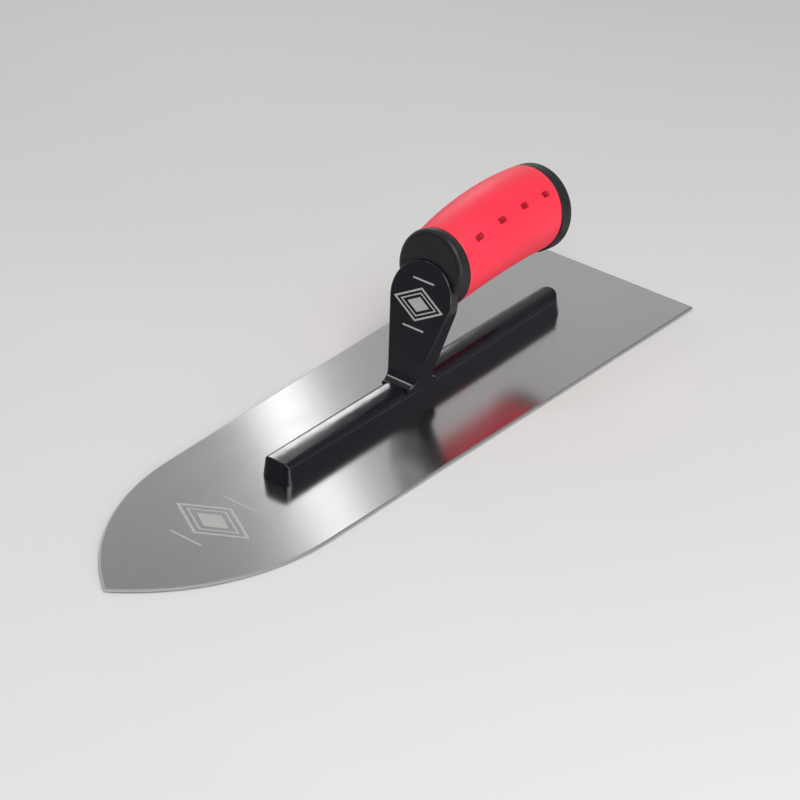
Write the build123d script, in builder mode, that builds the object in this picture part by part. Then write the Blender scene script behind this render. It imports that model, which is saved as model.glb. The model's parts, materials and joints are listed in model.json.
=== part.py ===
from build123d import *
import math
import os

# Pointed finishing trowel, in millimetres.
# +X runs from the square rear edge to the pointed nose, +Z up, the blade lies flat on Z = 0.
# The origin is on the underside of the blade, halfway along it.

# ---- Driving dimensions ----

blade_length = 400.0
blade_rear_width = 120.0
blade_front_width = 110.0
blade_nose_length = 101.0
blade_thickness = 1.0
blade_bevel_width = 1.0
blade_bevel_depth = 0.45
blade_rear_corner = 1.5

beam_front_x = 78.0
beam_rear_x = -150.5
beam_front_width = 19.2
beam_middle_width = 20.6
beam_rear_width = 17.2
beam_height = 12.3
beam_draft = 7.5
beam_front_corner = 4.5
beam_crown_radius = 45.0
beam_front_shoulder = 3.2
beam_middle_shoulder = 5.5
beam_rear_shoulder = 6.0
beam_front_round = 0.8
beam_plan_margin = 0.3
beam_middle_length = 1.0

stud_count = 8
stud_pitch = 27.0
stud_first_x = -132.0
stud_diameter = 6.0
stud_height = 8.0
stud_chamfer = 0.5
stud_side_clearance = 0.05
stud_end_clearance = 0.5

neck_front_foot_x = -21.0
neck_rear_foot_x = -32.3
neck_foot_width = 15.0
neck_head_radius = 19.8
neck_head_centre_z = 57.0
neck_lean = 19.5
neck_rear_lean = 14.2
neck_foot_fillet = 5.0
neck_edge_round = 1.0
neck_root_depth = 4.0
neck_stock_depth = 50.0
neck_stock_width = 80.0

collar_front_x = -43.5
collar_front_z = 71.5
collar_front_lean = 13.0
collar_front_radius = 20.8
collar_front_round = 3.2
collar_pocket_clearance = 0.15
collar_pocket_front = 20.0

grip_front_x = -51.6
grip_rear_x = -126.0
grip_arch_top_x = -100.5
grip_arch_top_z = 73.85
grip_arch_rate = 0.0022
grip_front_lean = 7.5
grip_rear_lean = 10.0
grip_radii = (21.3, 22.6, 23.3, 23.5, 23.2)
core_radius = 17.5

pit_count = 4
pit_first_x = -66.0
pit_pitch = 18.0
pit_angle = 44.0
pit_length = 5.0
pit_width = 2.6
pit_corner = 0.8
pit_depth = 2.2

butt_radius = 23.8
butt_drop = 0.7
butt_thickness = 9.5
butt_rear_round = 3.0
butt_front_round = 0.8

hardware_axis_z = 67.5
hardware_axis_rise = 2.2
tang_diameter = 14.0
tang_length = 36.0
tang_root_length = 1.5
tang_end_clearance = 1.0
bore_clearance = 0.15
thread_diameter = 8.0
thread_depth = 26.0
bolt_engagement = 22.0
bolt_hole_diameter = 8.6
bolt_head_diameter = 13.0
bolt_head_height = 8.0
bolt_socket_width = 6.0
bolt_socket_depth = 4.0
bolt_tip_chamfer = 0.8
washer_diameter = 17.0
washer_thickness = 1.6
head_bore_diameter = 20.0
head_bore_floor = 68.0
head_bore_reach = 50.0
plug_diameter = 19.8
plug_skirt_diameter = 16.0
plug_skirt_wall = 1.4
plug_skirt_length = 4.0
plug_thickness = 5.0
plug_stock_length = 15.0
cut_overrun = 10.0

# ---- Worked-out places ----

half_length = blade_length / 2
nose_start_x = half_length - blade_nose_length
beam_top_z = blade_thickness + beam_height
stud_xs = [stud_first_x + i * stud_pitch for i in range(stud_count)]
front_slope = math.tan(math.radians(neck_lean))
rear_slope = math.tan(math.radians(neck_rear_lean))

os.makedirs("parts", exist_ok=True)


def handle_section(x, z, lean):
    """A cross-section plane of the handle that faces rearwards, its top tipped back by lean degrees."""
    angle = math.radians(lean)
    return Plane(origin=(x, 0, z), x_dir=(0, -1, 0), z_dir=(-math.cos(angle), 0, -math.sin(angle)))


def arch_z(x):
    """Height of the middle of the arched grip at x."""
    return grip_arch_top_z - grip_arch_rate * (x - grip_arch_top_x) ** 2


def save(piece, label):
    """Name a finished piece and write it to its own file."""
    piece.part.label = label
    export_step(piece.part, f"parts/{label}.step")


# ---- Blade: tempered steel sheet with slightly converging sides and a pointed-arch nose ----

with BuildPart() as blade:
    with BuildSketch():
        with BuildLine():
            side = Line((-half_length, blade_rear_width / 2), (nose_start_x, blade_front_width / 2))
            nose = TangentArc(side @ 1, (half_length, 0), tangent=side % 1)
            mirror(side, about=Plane.XZ)
            mirror(nose, about=Plane.XZ)
            Line((-half_length, -blade_rear_width / 2), (-half_length, blade_rear_width / 2))
        make_face()
    extrude(amount=blade_thickness)
    rear_corners = blade.edges().filter_by(Axis.Z).group_by(Axis.X)[0]
    fillet(rear_corners, radius=blade_rear_corner)
    blade_top = blade.faces().sort_by(Axis.Z)[-1]
    chamfer(blade_top.edges(), length=blade_bevel_width, length2=blade_bevel_depth, reference=blade_top)
save(blade, "blade")

# ---- Blade studs: welded to the top of the blade, held in blind holes in the casting ----

with BuildPart() as blade_studs:
    with BuildSketch(Plane.XY.offset(blade_thickness)):
        with Locations(*[(x, 0) for x in stud_xs]):
            Circle(stud_diameter / 2)
    extrude(amount=stud_height)
    stud_tops = blade_studs.edges().group_by(Axis.Z)[-1]
    chamfer(stud_tops, length=stud_chamfer)
save(blade_studs, "blade_studs")

# ---- Neck: a flared plate that leans back, with a round head; it becomes part of the casting ----

neck_front_plane = Plane(
    origin=(neck_front_foot_x, 0, beam_top_z),
    x_dir=(0, 1, 0),
    z_dir=(math.cos(math.radians(neck_lean)), 0, math.sin(math.radians(neck_lean))),
)
head_centre_along = (neck_head_centre_z - beam_top_z) / math.cos(math.radians(neck_lean))
neck_top_z = neck_head_centre_z + 1.2 * neck_head_radius
fillet_top_z = beam_top_z + neck_foot_fillet
front_foot = (neck_front_foot_x + neck_foot_fillet, beam_top_z)
rear_foot = (neck_rear_foot_x - neck_foot_fillet, beam_top_z)
front_face_start = (neck_front_foot_x - neck_foot_fillet * front_slope, fillet_top_z)
rear_face_start = (neck_rear_foot_x - neck_foot_fillet * rear_slope, fillet_top_z)
front_face_end = (neck_front_foot_x - (neck_top_z - beam_top_z) * front_slope, neck_top_z)
rear_face_end = (neck_rear_foot_x - (neck_top_z - beam_top_z) * rear_slope, neck_top_z)

with BuildPart() as neck:
    with BuildSketch(neck_front_plane.offset(cut_overrun)):
        with Locations((0, head_centre_along)):
            Circle(neck_head_radius)
        with Locations((0, -neck_root_depth)):
            Rectangle(neck_foot_width, 2 * neck_root_depth)
        make_hull()
    extrude(amount=-neck_stock_depth)
    with BuildSketch(Plane.XZ):
        with BuildLine():
            root_front = (front_foot[0], beam_top_z - neck_root_depth)
            root_rear = (rear_foot[0], beam_top_z - neck_root_depth)
            Polyline(rear_foot, root_rear, root_front, front_foot)
            TangentArc(front_foot, front_face_start, tangent=(-1, 0))
            Polyline(front_face_start, front_face_end, rear_face_end, rear_face_start)
            TangentArc(rear_foot, rear_face_start, tangent=(1, 0))
        make_face()
    extrude(amount=neck_stock_width / 2, both=True, mode=Mode.INTERSECT)
    front_face = neck.faces().filter_by(Axis(neck_front_plane.origin, neck_front_plane.z_dir))[0]
    front_rim = [edge for edge in front_face.edges() if edge.center().Z > fillet_top_z + 1]
    fillet(front_rim, radius=neck_edge_round)

# ---- Hardware axis: the line of the tang, the bolt and the plug, rising slightly to the rear ----

axis_angle = math.radians(hardware_axis_rise)
axis_start_x = neck_rear_foot_x - (hardware_axis_z - beam_top_z) * rear_slope
hardware_plane = Plane(
    origin=(axis_start_x, 0, hardware_axis_z),
    x_dir=(0, 1, 0),
    z_dir=(-math.cos(axis_angle), 0, math.sin(axis_angle)),
)
bolt_tip = tang_length - bolt_engagement
head_front = head_bore_floor + washer_thickness

# ---- Mounting casting: beam, neck and tang in one aluminium casting ----

rear_end_radius = beam_rear_width / 2
front_corner_inset = beam_front_width / 2 - beam_front_corner
neck_middle_x = (neck_front_foot_x + neck_rear_foot_x) / 2
beam_stations = [
    (beam_rear_x, beam_rear_width, beam_rear_shoulder),
    (neck_middle_x, beam_middle_width, beam_middle_shoulder),
    (beam_front_x, beam_front_width, beam_front_shoulder),
]


def crown_drop(half_width):
    """How far the crowned top of the beam has fallen at half_width from its middle."""
    return beam_crown_radius - math.sqrt(beam_crown_radius**2 - half_width**2)


with BuildPart() as mounting_casting:
    for station_x, station_width, shoulder_round in beam_stations:
        half_foot = station_width / 2
        half_top = half_foot - beam_height * math.tan(math.radians(beam_draft))
        corner = (half_top, beam_height - crown_drop(half_top))
        halfway = (half_top / 2, beam_height - crown_drop(half_top / 2))
        station_plane = Plane(origin=(station_x, 0, blade_thickness), x_dir=(0, 1, 0), z_dir=(1, 0, 0))
        with BuildSketch(station_plane) as profile:
            with BuildLine():
                Polyline((0, beam_height), (0, 0), (half_foot, 0), corner)
                ThreePointArc(corner, halfway, (0, beam_height))
            make_face()
            shoulder = profile.vertices().sort_by(Axis.X)[-2]
            fillet(shoulder, radius=shoulder_round)
            mirror(about=Plane.YZ)
    loft(ruled=True)
    with BuildSketch(Plane.XY.offset(blade_thickness)):
        with Locations((beam_rear_x + rear_end_radius, 0)):
            Circle(rear_end_radius + beam_plan_margin)
        with Locations(
            (beam_front_x - beam_front_corner, front_corner_inset),
            (beam_front_x - beam_front_corner, -front_corner_inset),
        ):
            Circle(beam_front_corner + beam_plan_margin)
        with Locations((neck_middle_x, 0)):
            Rectangle(beam_middle_length, beam_middle_width + 2 * beam_plan_margin)
        make_hull()
    extrude(amount=beam_height, taper=beam_draft, mode=Mode.INTERSECT)
    front_edges = mounting_casting.edges().filter_by(lambda e: e.center().X > beam_front_x - beam_front_corner)
    front_rim = front_edges.filter_by(lambda e: e.center().Z > beam_top_z - beam_front_shoulder)
    fillet(front_rim, radius=beam_front_round)
    add(neck.part)
    with BuildSketch(hardware_plane.offset(-tang_root_length)):
        Circle(tang_diameter / 2)
    extrude(amount=tang_length + tang_root_length)
    with BuildSketch(hardware_plane.offset(tang_length)):
        Circle(thread_diameter / 2)
    extrude(amount=-thread_depth, mode=Mode.SUBTRACT)
    with BuildSketch(Plane.XY.offset(blade_thickness)):
        with Locations(*[(x, 0) for x in stud_xs]):
            Circle(stud_diameter / 2 + stud_side_clearance)
    extrude(amount=stud_height + stud_end_clearance, mode=Mode.SUBTRACT)
save(mounting_casting, "mounting_casting")

# ---- Handle shape: the outside and the inside of the grip, lofted through the same sections ----

section_count = len(grip_radii)
section_planes = []
for i in range(section_count):
    share = i / (section_count - 1)
    section_x = grip_front_x + share * (grip_rear_x - grip_front_x)
    section_lean = grip_front_lean + share * (grip_rear_lean - grip_front_lean)
    section_planes.append(handle_section(section_x, arch_z(section_x), section_lean))
joint_plane = section_planes[0]

with BuildPart() as grip_outside:
    for plane, radius in zip(section_planes, grip_radii):
        with BuildSketch(plane):
            Circle(radius)
    loft()

with BuildPart() as core_outside:
    for plane in section_planes:
        with BuildSketch(plane):
            Circle(core_radius)
    loft()

# ---- Front collar: black ring that closes the front of the handle and cups the head of the neck ----

collar_front_plane = handle_section(collar_front_x, collar_front_z, collar_front_lean)

with BuildPart() as neck_pocket:
    with BuildSketch(neck_front_plane.offset(cut_overrun)):
        with Locations((0, head_centre_along)):
            Circle(neck_head_radius + collar_pocket_clearance)
        Rectangle(neck_foot_width + 2 * collar_pocket_clearance, neck_root_depth)
        make_hull()
    extrude(amount=-neck_stock_depth)
    with BuildSketch(Plane.XZ):
        Polygon(
            (neck_front_foot_x + collar_pocket_front, beam_top_z),
            (neck_rear_foot_x, beam_top_z),
            rear_face_end,
            (rear_face_end[0] + collar_pocket_front, neck_top_z),
            align=None,
        )
    extrude(amount=neck_stock_width / 2, both=True, mode=Mode.INTERSECT)

with BuildPart() as front_collar:
    with BuildSketch(collar_front_plane):
        Circle(collar_front_radius)
    with BuildSketch(joint_plane):
        Circle(grip_radii[0])
    loft()
    fillet(front_collar.edges().sort_by(Axis.X)[-1], radius=collar_front_round)
    add(neck_pocket.part, mode=Mode.SUBTRACT)
    with BuildSketch(hardware_plane.offset(-cut_overrun)):
        Circle(tang_diameter / 2 + bore_clearance)
    extrude(amount=tang_length, mode=Mode.SUBTRACT)
save(front_collar, "front_collar")

# ---- Handle core: rigid black moulding with the butt flange; the grip is moulded over it ----

butt_plane = section_planes[-1]

with BuildPart() as handle_core:
    with BuildSketch(butt_plane):
        with Locations((0, -butt_drop)):
            Circle(butt_radius)
    extrude(amount=butt_thickness)
    fillet(handle_core.edges().sort_by(Axis.X)[0], radius=butt_rear_round)
    fillet(handle_core.edges().sort_by(Axis.X)[-1], radius=butt_front_round)
    add(core_outside.part)
    with BuildSketch(hardware_plane):
        Circle(tang_diameter / 2 + bore_clearance)
    extrude(amount=tang_length + tang_end_clearance, mode=Mode.SUBTRACT)
    with BuildSketch(hardware_plane):
        Circle(bolt_hole_diameter / 2)
    extrude(amount=head_bore_floor, mode=Mode.SUBTRACT)
    with BuildSketch(hardware_plane.offset(head_bore_floor)):
        Circle(head_bore_diameter / 2)
    extrude(amount=head_bore_reach, mode=Mode.SUBTRACT)
save(handle_core, "handle_core")

# ---- Grip sleeve: soft overmould with a row of small pits on each upper side ----

with BuildPart() as grip_sleeve:
    add(grip_outside.part)
    add(core_outside.part, mode=Mode.SUBTRACT)
    pit_floor_radius = max(grip_radii) - pit_depth
    for side_sign in (1, -1):
        angle = math.radians(pit_angle)
        outward = (0, side_sign * math.cos(angle), math.sin(angle))
        for i in range(pit_count):
            pit_x = pit_first_x - i * pit_pitch
            pit_y = pit_floor_radius * outward[1]
            pit_z = arch_z(pit_x) + pit_floor_radius * outward[2]
            with BuildSketch(Plane(origin=(pit_x, pit_y, pit_z), x_dir=(1, 0, 0), z_dir=outward)):
                RectangleRounded(pit_length, pit_width, pit_corner)
            extrude(amount=cut_overrun, mode=Mode.SUBTRACT)
save(grip_sleeve, "grip_sleeve")

# ---- Handle bolt: socket-head screw from the butt into the tang ----

with BuildPart() as handle_bolt:
    with BuildSketch(hardware_plane.offset(bolt_tip)):
        Circle(thread_diameter / 2 - bore_clearance / 2)
    extrude(amount=head_front - bolt_tip)
    chamfer(handle_bolt.edges().sort_by(Axis.X)[-1], length=bolt_tip_chamfer)
    with BuildSketch(hardware_plane.offset(head_front)):
        Circle(bolt_head_diameter / 2)
    extrude(amount=bolt_head_height)
    with BuildSketch(hardware_plane.offset(head_front + bolt_head_height)):
        RegularPolygon(bolt_socket_width / 2, 6, major_radius=False)
    extrude(amount=-bolt_socket_depth, mode=Mode.SUBTRACT)
save(handle_bolt, "handle_bolt")

# ---- Washer under the bolt head ----

with BuildPart() as bolt_washer:
    with BuildSketch(hardware_plane.offset(head_bore_floor)):
        Circle(washer_diameter / 2)
        Circle(bolt_hole_diameter / 2, mode=Mode.SUBTRACT)
    extrude(amount=washer_thickness)
save(bolt_washer, "bolt_washer")

# ---- Butt plug: closes the bolt bore flush with the butt ----

butt_face = butt_plane.offset(butt_thickness)
butt_face_along = (axis_start_x - butt_face.origin.X) / math.cos(axis_angle)
plug_inner = butt_face_along - plug_thickness

with BuildPart() as butt_plug:
    with BuildSketch(hardware_plane.offset(plug_inner)):
        Circle(plug_diameter / 2)
    extrude(amount=plug_stock_length)
    split(bisect_by=butt_face, keep=Keep.BOTTOM)
    with BuildSketch(hardware_plane.offset(plug_inner)):
        Circle(plug_skirt_diameter / 2)
        Circle(plug_skirt_diameter / 2 - plug_skirt_wall, mode=Mode.SUBTRACT)
    extrude(amount=-plug_skirt_length)
save(butt_plug, "butt_plug")
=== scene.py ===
import json
import math

import bpy
from mathutils import Matrix, Vector


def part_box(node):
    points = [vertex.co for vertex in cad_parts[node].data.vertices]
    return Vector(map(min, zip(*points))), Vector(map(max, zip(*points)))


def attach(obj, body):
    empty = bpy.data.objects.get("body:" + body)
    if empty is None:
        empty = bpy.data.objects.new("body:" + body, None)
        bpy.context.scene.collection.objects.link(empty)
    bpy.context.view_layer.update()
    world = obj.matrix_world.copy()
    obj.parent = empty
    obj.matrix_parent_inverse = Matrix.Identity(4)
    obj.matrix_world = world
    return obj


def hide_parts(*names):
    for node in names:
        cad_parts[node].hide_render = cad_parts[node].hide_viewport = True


# Pointed finishing trowel. Metres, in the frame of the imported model:
# +X towards the nose, +Z up, the blade lies flat on Z = 0.

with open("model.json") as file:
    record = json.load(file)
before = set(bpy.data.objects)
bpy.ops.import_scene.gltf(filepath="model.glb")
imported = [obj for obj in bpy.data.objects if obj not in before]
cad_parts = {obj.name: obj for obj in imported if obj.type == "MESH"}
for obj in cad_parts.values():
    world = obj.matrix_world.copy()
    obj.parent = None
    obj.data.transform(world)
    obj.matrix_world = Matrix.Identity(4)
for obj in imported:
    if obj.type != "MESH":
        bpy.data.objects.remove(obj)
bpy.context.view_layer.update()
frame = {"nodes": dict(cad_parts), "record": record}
scene = bpy.context.scene
nodes = frame["nodes"]

# ---- Places and sizes ----

BLADE_TOP_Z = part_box("blade")[1].z

GRIP_FRONT_X = -0.0516
GRIP_REAR_X = -0.126
ARCH_TOP_X = -0.1005
ARCH_TOP_Z = 0.07385
ARCH_RATE = 2.2
GRIP_FRONT_LEAN = math.radians(7.5)
GRIP_REAR_LEAN = math.radians(10.0)
GRIP_RADII = (0.0213, 0.0226, 0.0233, 0.0235, 0.0232)
CORE_RADIUS = 0.01752
GRIP_RIM_ROUND = 0.0006
GRIP_RIM_STEPS = 5
GRIP_RINGS = 240
GRIP_SECTORS = 384
GRIP_BORE_SHARES = (1.0, 0.75, 0.5, 0.25, 0.0)
SHARP_ANGLE = math.radians(50)

PIT_COUNT = 4
PIT_FIRST_X = -0.066
PIT_PITCH = 0.018
PIT_XS = [PIT_FIRST_X - PIT_PITCH * i for i in range(PIT_COUNT)]
PIT_ANGLE = math.radians(44.0)
PIT_HALF_LENGTH = 0.0026
PIT_HALF_WIDTH = 0.0014
PIT_DEPTH = 0.0021
PIT_WALL = 0.0004
PIT_BELT = 0.3

NECK_FOOT_X = -0.021
NECK_LEAN = math.radians(19.5)
BEAM_TOP_Z = 0.0133
MARK_CENTRE_Z = 0.0535
MARK_WIDTH = 0.033
MARK_LIFT = 0.00002
MARK_FILM = 0.00005
ETCH_CENTRE_X = 0.1235
ETCH_WIDTH = 0.05


# ---- Small helpers ----


def link(obj):
    scene.collection.objects.link(obj)
    return obj


def mesh_object(name, verts, faces, smooth=True):
    mesh = bpy.data.meshes.new(name)
    mesh.from_pydata(verts, [], faces)
    mesh.validate()
    mesh.update()
    if smooth:
        mesh.shade_smooth()
    return link(bpy.data.objects.new(name, mesh))


# The sockets of a Mix node that mixes colours.
MIX_FACTOR, MIX_FIRST, MIX_SECOND, MIX_RESULT = 0, 6, 7, 2


class Graph:
    """A node material under construction."""

    def __init__(self, name):
        self.material = bpy.data.materials.new(name)
        self.material.use_nodes = True
        self.tree = self.material.node_tree
        self.tree.nodes.clear()
        self.shader = self.add("ShaderNodeBsdfPrincipled")
        output = self.add("ShaderNodeOutputMaterial")
        self.tree.links.new(self.shader.outputs[0], output.inputs["Surface"])
        self.place = self.add("ShaderNodeTexCoord").outputs["Object"]

    def add(self, kind, **settings):
        node = self.tree.nodes.new(kind)
        for key, value in settings.items():
            setattr(node, key, value)
        return node

    def wire(self, source, target):
        self.tree.links.new(source, target)

    def stretched(self, scale):
        node = self.add("ShaderNodeMapping")
        node.inputs["Scale"].default_value = scale
        self.wire(self.place, node.inputs["Vector"])
        return node.outputs["Vector"]

    def noise(self, scale, detail=3.0, roughness=0.55, vector=None):
        node = self.add("ShaderNodeTexNoise")
        node.inputs["Scale"].default_value = scale
        node.inputs["Detail"].default_value = detail
        node.inputs["Roughness"].default_value = roughness
        self.wire(vector or self.place, node.inputs["Vector"])
        return node.outputs["Fac"]

    def remap(self, value, low, high, start=0.3, end=0.7):
        node = self.add("ShaderNodeMapRange")
        node.inputs["From Min"].default_value = start
        node.inputs["From Max"].default_value = end
        node.inputs["To Min"].default_value = low
        node.inputs["To Max"].default_value = high
        self.wire(value, node.inputs["Value"])
        return node.outputs["Result"]

    def ramp(self, value, stops):
        node = self.add("ShaderNodeValToRGB")
        elements = node.color_ramp.elements
        for _ in range(len(stops) - 2):
            elements.new(0.5)
        for element, (position, colour) in zip(elements, stops):
            element.position = position
            element.color = (*colour, 1.0)
        self.wire(value, node.inputs["Fac"])
        return node.outputs["Color"]

    def math(self, operation, a, b):
        node = self.add("ShaderNodeMath", operation=operation)
        for socket, value in zip(node.inputs, (a, b)):
            if isinstance(value, (int, float)):
                socket.default_value = value
            else:
                self.wire(value, socket)
        return node.outputs[0]

    def bump(self, height, strength, distance, before=None):
        node = self.add("ShaderNodeBump")
        node.inputs["Strength"].default_value = strength
        node.inputs["Distance"].default_value = distance
        self.wire(height, node.inputs["Height"])
        if before:
            self.wire(before, node.inputs["Normal"])
        return node.outputs["Normal"]

    def set(self, **values):
        for key, value in values.items():
            socket = self.shader.inputs[key.replace("_", " ")]
            if isinstance(value, (int, float, tuple)):
                socket.default_value = value
            else:
                self.wire(value, socket)


# ---- Materials ----


def blade_steel():
    g = Graph("blade_steel")
    lines = g.noise(1.0, detail=2.0, roughness=0.6, vector=g.stretched((7.0, 1100.0, 60.0)))
    broad = g.noise(14.0, detail=3.0, roughness=0.5)
    smears = g.noise(1.0, detail=3.0, roughness=0.5, vector=g.stretched((12.0, 70.0, 60.0)))
    tone = g.math("ADD", g.math("MULTIPLY", lines, 0.4), g.math("MULTIPLY", broad, 0.6))
    polish = g.math("ADD", g.math("MULTIPLY", smears, 0.6), g.math("MULTIPLY", lines, 0.4))
    g.set(
        Base_Color=g.ramp(tone, [(0.3, (0.6, 0.598, 0.605)), (0.7, (0.64, 0.635, 0.642))]),
        Metallic=1.0,
        Roughness=g.remap(polish, 0.165, 0.2),
        Normal=g.bump(lines, 0.03, 0.000004),
    )
    return g.material


def etched_steel():
    g = Graph("etched_steel")
    frost = g.noise(5200.0, detail=2.0)
    g.set(
        Base_Color=g.ramp(frost, [(0.3, (0.56, 0.55, 0.535)), (0.7, (0.67, 0.66, 0.645))]),
        Metallic=0.85,
        Roughness=g.remap(frost, 0.38, 0.5),
        Normal=g.bump(frost, 0.15, 0.00002),
    )
    return g.material


def stud_steel():
    g = Graph("stud_steel")
    turned = g.noise(1.0, detail=2.0, roughness=0.5, vector=g.stretched((3000.0, 300.0, 300.0)))
    g.set(
        Base_Color=g.ramp(turned, [(0.3, (0.47, 0.47, 0.48)), (0.7, (0.58, 0.58, 0.59))]),
        Metallic=1.0,
        Roughness=g.remap(turned, 0.26, 0.38),
        Normal=g.bump(turned, 0.1, 0.00002),
    )
    return g.material


def black_enamel():
    g = Graph("black_enamel")
    peel = g.noise(650.0, detail=2.0, roughness=0.5)
    cast = g.noise(90.0, detail=3.0, roughness=0.5)
    dust = g.noise(2400.0, detail=2.0, roughness=0.6)
    g.set(
        Base_Color=g.ramp(dust, [(0.45, (0.0065, 0.0052, 0.0092)), (0.8, (0.011, 0.0092, 0.0145))]),
        Roughness=g.remap(cast, 0.14, 0.2),
        IOR=1.46,
        Normal=g.bump(peel, 0.12, 0.00006, g.bump(cast, 0.2, 0.0001)),
    )
    return g.material


def black_moulding():
    g = Graph("black_moulding")
    grain = g.noise(3600.0, detail=2.0, roughness=0.6)
    broad = g.noise(60.0, detail=3.0)
    g.set(
        Base_Color=g.ramp(broad, [(0.3, (0.0055, 0.0053, 0.0072)), (0.7, (0.0085, 0.0082, 0.0102))]),
        Roughness=g.remap(grain, 0.36, 0.48),
        IOR=1.42,
        Normal=g.bump(grain, 0.25, 0.00004),
    )
    return g.material


def red_grip():
    g = Graph("red_grip")
    grain = g.noise(2800.0, detail=2.0, roughness=0.6)
    broad = g.noise(45.0, detail=3.0)
    skin = g.ramp(broad, [(0.3, (0.92, 0.029, 0.063)), (0.7, (0.97, 0.035, 0.073))])
    # Painted shade: the pits are mixed towards a dark red by their depth, standing in for the shade that
    # falls into them.
    pressed = g.add("ShaderNodeAttribute", attribute_name="pressed").outputs["Fac"]
    colour = g.add("ShaderNodeMix", data_type="RGBA")
    colour.inputs[MIX_SECOND].default_value = (0.33, 0.006, 0.014, 1.0)
    g.wire(pressed, colour.inputs[MIX_FACTOR])
    g.wire(skin, colour.inputs[MIX_FIRST])
    g.set(
        Base_Color=colour.outputs[MIX_RESULT],
        Roughness=g.remap(grain, 0.42, 0.54),
        IOR=1.44,
        Normal=g.bump(grain, 0.2, 0.00003),
    )
    return g.material


def pale_print():
    g = Graph("pale_print")
    speckle = g.noise(3000.0, detail=3.0, roughness=0.7)
    g.set(
        Base_Color=g.ramp(speckle, [(0.35, (0.36, 0.355, 0.35)), (0.65, (0.5, 0.49, 0.485))]),
        Roughness=g.remap(speckle, 0.35, 0.5),
        Normal=g.bump(speckle, 0.1, 0.00001),
    )
    return g.material


def pale_floor():
    g = Graph("pale_floor")
    mottle = g.noise(2.5, detail=4.0, roughness=0.5)
    g.set(
        Base_Color=g.ramp(mottle, [(0.3, (0.74, 0.735, 0.73)), (0.7, (0.77, 0.765, 0.76))]),
        Roughness=0.9,
    )
    return g.material


MATERIALS = {
    "blade_steel": blade_steel(),
    "stud_steel": stud_steel(),
    "black_enamel": black_enamel(),
    "black_moulding": black_moulding(),
    "red_grip": red_grip(),
    "pale_print": pale_print(),
}

for part in frame["record"]["subparts"]:
    obj = nodes[part["node"]]
    for holder in obj.material_slots:
        holder.link = "OBJECT"
        holder.material = MATERIALS[part["material_slot"]]


# ---- Grip: soft overmould with rounded rims and pressed pits, with shade painted into the pits ----


def arch_z(x):
    return ARCH_TOP_Z - ARCH_RATE * (x - ARCH_TOP_X) ** 2


def grip_radius(share):
    """The radius at share of the way back, on the smooth curve through the radii of the sections."""
    last = len(GRIP_RADII) - 1
    total = 0.0
    for i, radius in enumerate(GRIP_RADII):
        weight = 1.0
        for j in range(last + 1):
            if j != i:
                weight *= (share * last - j) / (i - j)
        total += radius * weight
    return total


def section(share):
    """Centre, outward-up and sideways directions of the grip's cross-section at share of the way back."""
    x = GRIP_FRONT_X + share * (GRIP_REAR_X - GRIP_FRONT_X)
    lean = GRIP_FRONT_LEAN + share * (GRIP_REAR_LEAN - GRIP_FRONT_LEAN)
    return Vector((x, 0, arch_z(x))), Vector((-math.sin(lean), 0, math.cos(lean))), Vector((0, 1, 0))


def smooth_step(value):
    value = min(1.0, max(0.0, value))
    return value * value * (3 - 2 * value)


def pit_depth(point, angle, radius):
    """How far the surface is pressed in at a point of the grip, away from its ridge and its underside."""
    if abs(math.sin(angle)) < PIT_BELT or math.cos(angle) < PIT_BELT:
        return 0.0
    around = (math.copysign(1, math.sin(angle)) * angle - (math.pi / 2 - PIT_ANGLE)) * radius
    depth = 0.0
    for pit_x in PIT_XS:
        along = abs(point.x - pit_x) - PIT_HALF_LENGTH + PIT_WALL
        across = abs(around) - PIT_HALF_WIDTH + PIT_WALL
        outside = math.hypot(max(along, 0.0), max(across, 0.0))
        depth = max(depth, 1 - smooth_step(outside / (2 * PIT_WALL)))
    return PIT_DEPTH * depth


def rim_drop(distance):
    """How far a rounded rim falls away at a distance from the end."""
    if distance >= GRIP_RIM_ROUND:
        return 0.0
    reach = GRIP_RIM_ROUND - distance
    return GRIP_RIM_ROUND - math.sqrt(GRIP_RIM_ROUND ** 2 - reach ** 2)


def sector_angle(k):
    """The angle of a sector, from the top of the grip, between minus and plus half a turn."""
    angle = 2 * math.pi * k / GRIP_SECTORS
    return angle - 2 * math.pi if angle > math.pi else angle


def grip_stations(length):
    """Distances from the front end: close together in the two rims, even between them."""
    rim = []
    for i in range(GRIP_RIM_STEPS):
        rim.append(GRIP_RIM_ROUND * (1 - math.cos(math.pi / 2 * i / GRIP_RIM_STEPS)))
    step = (length - 2 * GRIP_RIM_ROUND) / GRIP_RINGS
    between = [GRIP_RIM_ROUND + step * i for i in range(GRIP_RINGS + 1)]
    return rim + between + [length - distance for distance in reversed(rim)]


def ring_faces(ring_count):
    """Quads between rings of sectors, the last ring joined to the first."""
    faces = []
    for r in range(ring_count):
        here = r * GRIP_SECTORS
        following = (r + 1) % ring_count * GRIP_SECTORS
        for k in range(GRIP_SECTORS):
            m = (k + 1) % GRIP_SECTORS
            faces.append((here + k, here + m, following + m, following + k))
    return faces


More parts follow.
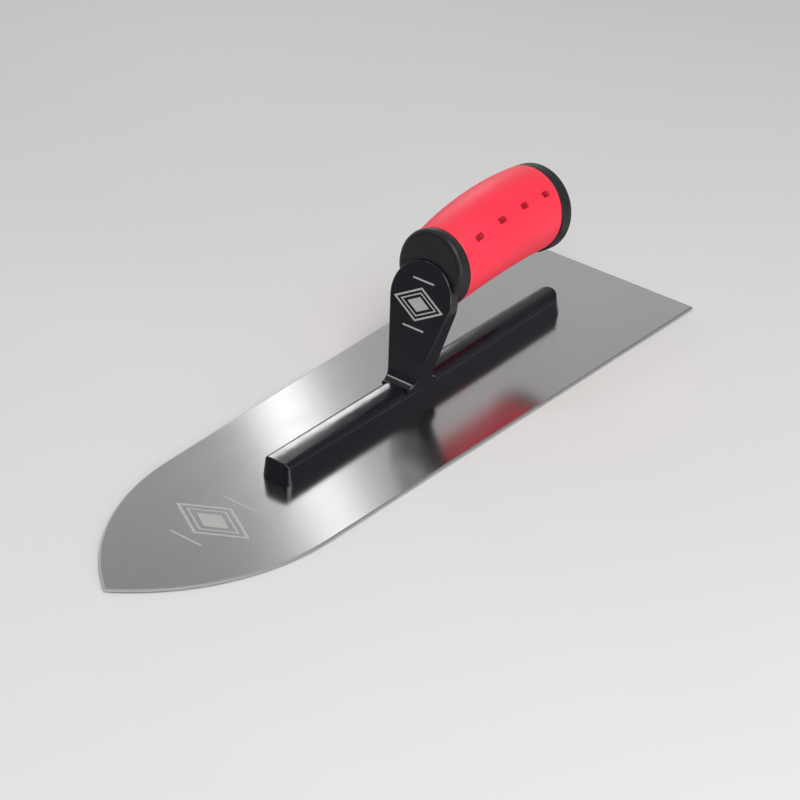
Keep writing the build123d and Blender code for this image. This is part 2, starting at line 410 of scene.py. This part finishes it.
def build_grip():
    length = GRIP_FRONT_X - GRIP_REAR_X
    stations = grip_stations(length)
    verts = []
    pressed = []
    for station in stations:
        share = station / length
        centre, up, side = section(share)
        radius = grip_radius(share) - rim_drop(min(station, length - station))
        for k in range(GRIP_SECTORS):
            angle = sector_angle(k)
            outward = up * math.cos(angle) + side * math.sin(angle)
            point = centre + outward * radius
            depth = pit_depth(point, angle, radius)
            pressed.append(depth / PIT_DEPTH)
            verts.append(point - outward * depth)
    for share in GRIP_BORE_SHARES:
        centre, up, side = section(share)
        for k in range(GRIP_SECTORS):
            angle = sector_angle(k)
            verts.append(centre + (up * math.cos(angle) + side * math.sin(angle)) * CORE_RADIUS)
    pressed += [0.0] * (len(verts) - len(pressed))

    grip = mesh_object("grip_cover", verts, ring_faces(len(stations) + len(GRIP_BORE_SHARES)))
    grip.data.set_sharp_from_angle(angle=SHARP_ANGLE)
    # The share of the pit depth at each point goes into an attribute, which the grip material uses to paint
    # shade into the pits.
    attribute = grip.data.attributes.new("pressed", "FLOAT", "POINT")
    attribute.data.foreach_set("value", pressed)
    grip.data.materials.append(MATERIALS["red_grip"])
    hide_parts("grip_sleeve")
    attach(grip, "root")
    return grip


grip = build_grip()


# ---- Generic marks: nested lozenges between two bars, printed on the neck and etched on the blade ----


def prism(outline, hole, place, height):
    """A flat film between an outline and an optional hole, both lists of 2-D points of equal length."""
    count = len(outline)
    verts = []
    for level in (0.0, height):
        verts += [place @ Vector((x, y, level)) for x, y in outline]
        if hole:
            verts += [place @ Vector((x, y, level)) for x, y in hole]
    faces = []
    if hole:
        upper = 2 * count
        for k in range(count):
            m = (k + 1) % count
            faces.append((upper + k, upper + m, upper + count + m, upper + count + k))
            faces.append((count + k, count + m, m, k))
            faces.append((k, m, upper + m, upper + k))
            faces.append((count + m, count + k, upper + count + k, upper + count + m))
    else:
        faces.append(tuple(range(count, 2 * count)))
        faces.append(tuple(reversed(range(count))))
        for k in range(count):
            m = (k + 1) % count
            faces.append((k, m, count + m, count + k))
    return verts, faces


def lozenge(half_width, half_height):
    return [(half_width, 0), (0, half_height), (-half_width, 0), (0, -half_height)]


def bar(x, y, half_width, half_height):
    return [
        (x + half_width, y - half_height),
        (x + half_width, y + half_height),
        (x - half_width, y + half_height),
        (x - half_width, y - half_height),
    ]


LINE_SHARE = 0.027
LOZENGE_ASPECT = 0.56
MIDDLE_HALF = (0.72, 0.4)
SOLID_HALF = (0.44, 0.246)
OUTER_BAND = (2.3, 1.29)
MIDDLE_BAND = (1.6, 0.9)
BAR_PLACE = 0.78
BAR_HALF_LENGTH = 0.42


def build_mark(name, place, size, material):
    """Two lozenge rings, a solid lozenge inside them and a bar above and below, size metres wide."""
    half = size / 2
    line = size * LINE_SHARE
    outer = (half, half * LOZENGE_ASPECT)
    outer_hole = (outer[0] - OUTER_BAND[0] * line, outer[1] - OUTER_BAND[1] * line)
    middle = (half * MIDDLE_HALF[0], half * MIDDLE_HALF[1])
    middle_hole = (middle[0] - MIDDLE_BAND[0] * line, middle[1] - MIDDLE_BAND[1] * line)
    shapes = [
        (lozenge(*outer), lozenge(*outer_hole)),
        (lozenge(*middle), lozenge(*middle_hole)),
        (lozenge(half * SOLID_HALF[0], half * SOLID_HALF[1]), None),
        (bar(0, half * BAR_PLACE, half * BAR_HALF_LENGTH, line / 2), None),
        (bar(0, -half * BAR_PLACE, half * BAR_HALF_LENGTH, line / 2), None),
    ]
    verts, faces = [], []
    for outline, hole in shapes:
        more_verts, more_faces = prism(outline, hole, place, MARK_FILM)
        faces += [tuple(i + len(verts) for i in face) for face in more_faces]
        verts += more_verts
    mark = mesh_object(name, verts, faces, smooth=False)
    mark.data.materials.append(material)
    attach(mark, "root")


neck_normal = Vector((math.cos(NECK_LEAN), 0, math.sin(NECK_LEAN)))
neck_up = Vector((-math.sin(NECK_LEAN), 0, math.cos(NECK_LEAN)))
neck_side = Vector((0, 1, 0))
mark_x = NECK_FOOT_X - (MARK_CENTRE_Z - BEAM_TOP_Z) * math.tan(NECK_LEAN)
mark_centre = Vector((mark_x, 0, MARK_CENTRE_Z)) + neck_normal * MARK_LIFT
neck_place = Matrix.Translation(mark_centre) @ Matrix((neck_side, neck_up, neck_normal)).transposed().to_4x4()
build_mark("neck_mark", neck_place, MARK_WIDTH, MATERIALS["pale_print"])

etch_centre = Vector((ETCH_CENTRE_X, 0, BLADE_TOP_Z + MARK_LIFT))
etch_place = Matrix.Translation(etch_centre) @ Matrix.Rotation(math.pi / 2, 4, "Z")
build_mark("blade_mark", etch_place, ETCH_WIDTH, etched_steel())


# ---- Floor, light and camera ----

TARGET = Vector((0.009, 0, 0))
CAMERA_AZIMUTH = 40.67
CAMERA_ELEVATION = 32.41
CAMERA_DISTANCE = 1.65
CAMERA_LENS = 143.7
SENSOR_WIDTH = 36.0
CAMERA_REACH = 50.0
AIM_RIGHT = 0.0190
AIM_UP = 0.01385

FLOOR_REACH = 12.0
FLOOR_DROP = 0.0008  # keeps the floor clear of the underside of the blade

BAND_DISTANCE = 0.7
BACK_DISTANCE = 1.8
GLINT_DISTANCE = 1.2
EDGE_DISTANCE = 1.5

# Radiance of the room, from below to straight above, and its share in front of and behind the tool.
ROOM_STOPS = [(0.0, 0.75), (0.48, 0.6), (0.6, 0.26), (0.75, 0.35), (1.0, 1.0)]
ROOM_FRONT_SHARE = 0.25
ROOM_BACK_SHARE = 1.0
ROOM_TURN_START = -0.3
ROOM_TURN_END = 0.55
BACKDROP_LEVEL = 0.8


def direction(azimuth, elevation):
    """The direction at an azimuth in degrees from +X towards +Y, and an elevation in degrees."""
    around = math.radians(azimuth)
    rise = math.radians(elevation)
    return Vector((math.cos(rise) * math.cos(around), math.cos(rise) * math.sin(around), math.sin(rise)))


def turned_to(place, aim, roll=0.0):
    """A matrix at place that looks at aim along its own -Z axis, rolled by an angle in degrees."""
    turn = (aim - place).to_track_quat("-Z", "Y").to_matrix().to_4x4()
    return Matrix.Translation(place) @ turn @ Matrix.Rotation(math.radians(roll), 4, "Z")


view = direction(CAMERA_AZIMUTH, CAMERA_ELEVATION)
right = Vector((-math.sin(math.radians(CAMERA_AZIMUTH)), math.cos(math.radians(CAMERA_AZIMUTH)), 0))
upward = view.cross(right)
camera_data = bpy.data.cameras.new("camera")
camera_data.lens = CAMERA_LENS
camera_data.sensor_width = SENSOR_WIDTH
camera_data.clip_end = CAMERA_REACH
camera = link(bpy.data.objects.new("camera", camera_data))
eye = TARGET + view * CAMERA_DISTANCE
camera.matrix_world = turned_to(eye, TARGET + right * AIM_RIGHT + upward * AIM_UP)
scene.camera = camera

floor = mesh_object(
    "floor",
    [(x * FLOOR_REACH, y * FLOOR_REACH, -FLOOR_DROP) for x, y in ((-1, -1), (1, -1), (1, 1), (-1, 1))],
    [(0, 1, 2, 3)],
    smooth=False,
)
floor.data.materials.append(pale_floor())


def soft_box(name, place, aim, width, height, power, roll=0.0):
    """A rectangular light that shows in reflections but not to the camera."""
    data = bpy.data.lights.new(name, "AREA")
    data.shape = "RECTANGLE"
    data.size = width
    data.size_y = height
    data.energy = power
    light = link(bpy.data.objects.new(name, data))
    light.matrix_world = turned_to(place, aim, roll)
    light.visible_camera = False
    return light


# The blade mirrors the band light as a bright band across it.
mirror = Vector((-view.x, -view.y, view.z))
band_point = Vector((0.071, 0, BLADE_TOP_Z))
band_place = band_point + mirror * BAND_DISTANCE
soft_box("band_light", band_place, band_point, width=0.036, height=0.4, power=0.091, roll=24.0)

# The strip light draws the pale strip on the beam and the grip, and is kept off the blade.
beam_point = Vector((0.03, 0, BEAM_TOP_Z))
strip_place = beam_point + direction(226, 26.5) * BACK_DISTANCE
strip_light = soft_box("strip_light", strip_place, beam_point, width=0.3, height=0.26, power=2.4)
upper_parts = bpy.data.collections.new("upper_parts")
for part_name in ("mounting_casting", "front_collar", "handle_core"):
    upper_parts.objects.link(nodes[part_name])
upper_parts.objects.link(grip)
strip_light.light_linking.receiver_collection = upper_parts

back_place = beam_point + direction(235, 17) * BACK_DISTANCE
soft_box("back_light", back_place, beam_point, width=0.4, height=0.1, power=0.8)

soft_box("top_light", Vector((0.45, 0.7, 1.35)), Vector((0, 0, 0)), width=1.0, height=1.0, power=16.0)
soft_box("fill_light", Vector((0.35, 1.6, 0.45)), Vector((0, 0, 0.05)), width=1.7, height=0.5, power=9.0)

# Small glints at the foot of the neck and along its near edge.
neck_foot = Vector((NECK_FOOT_X, 0, BEAM_TOP_Z))
glint_place = neck_foot + direction(-60, 52) * GLINT_DISTANCE
soft_box("glint_light", glint_place, neck_foot, width=0.14, height=0.14, power=0.9)
edge_place = neck_foot + direction(85, 4) * EDGE_DISTANCE
soft_box("edge_light", edge_place, neck_foot, width=1.2, height=0.12, power=1.6)


def build_room():
    """A world that is pale behind the tool, dim in front of it, and plain and pale to the camera."""
    world = bpy.data.worlds.new("studio")
    scene.world = world
    world.use_nodes = True
    sky = world.node_tree
    room = sky.nodes["Background"]
    heading = sky.nodes.new("ShaderNodeTexCoord").outputs["Generated"]

    parts = sky.nodes.new("ShaderNodeSeparateXYZ")
    sky.links.new(heading, parts.inputs[0])
    shade = sky.nodes.new("ShaderNodeValToRGB")
    for _ in ROOM_STOPS[2:]:
        shade.color_ramp.elements.new(0.5)
    for element, (position, level) in zip(shade.color_ramp.elements, ROOM_STOPS):
        element.position = position
        element.color = (level, level, level, 1.0)
    sky.links.new(parts.outputs["Z"], shade.inputs["Fac"])
    sky.links.new(shade.outputs["Color"], room.inputs["Color"])

    behind = sky.nodes.new("ShaderNodeVectorMath")
    behind.operation = "DOT_PRODUCT"
    behind.inputs[1].default_value = (-view.x, -view.y, 0)
    sky.links.new(heading, behind.inputs[0])
    strength = sky.nodes.new("ShaderNodeMapRange")
    strength.inputs["From Min"].default_value = ROOM_TURN_START
    strength.inputs["From Max"].default_value = ROOM_TURN_END
    strength.inputs["To Min"].default_value = ROOM_FRONT_SHARE
    strength.inputs["To Max"].default_value = ROOM_BACK_SHARE
    sky.links.new(behind.outputs["Value"], strength.inputs["Value"])
    sky.links.new(strength.outputs["Result"], room.inputs["Strength"])

    backdrop = sky.nodes.new("ShaderNodeBackground")
    backdrop.inputs["Color"].default_value = (BACKDROP_LEVEL, BACKDROP_LEVEL, BACKDROP_LEVEL, 1.0)
    rays = sky.nodes.new("ShaderNodeLightPath")
    chooser = sky.nodes.new("ShaderNodeMixShader")
    sky.links.new(rays.outputs["Is Camera Ray"], chooser.inputs["Fac"])
    sky.links.new(room.outputs[0], chooser.inputs[1])
    sky.links.new(backdrop.outputs[0], chooser.inputs[2])
    sky.links.new(chooser.outputs[0], sky.nodes["World Output"].inputs["Surface"])


build_room()
scene.view_settings.view_transform = "Standard"
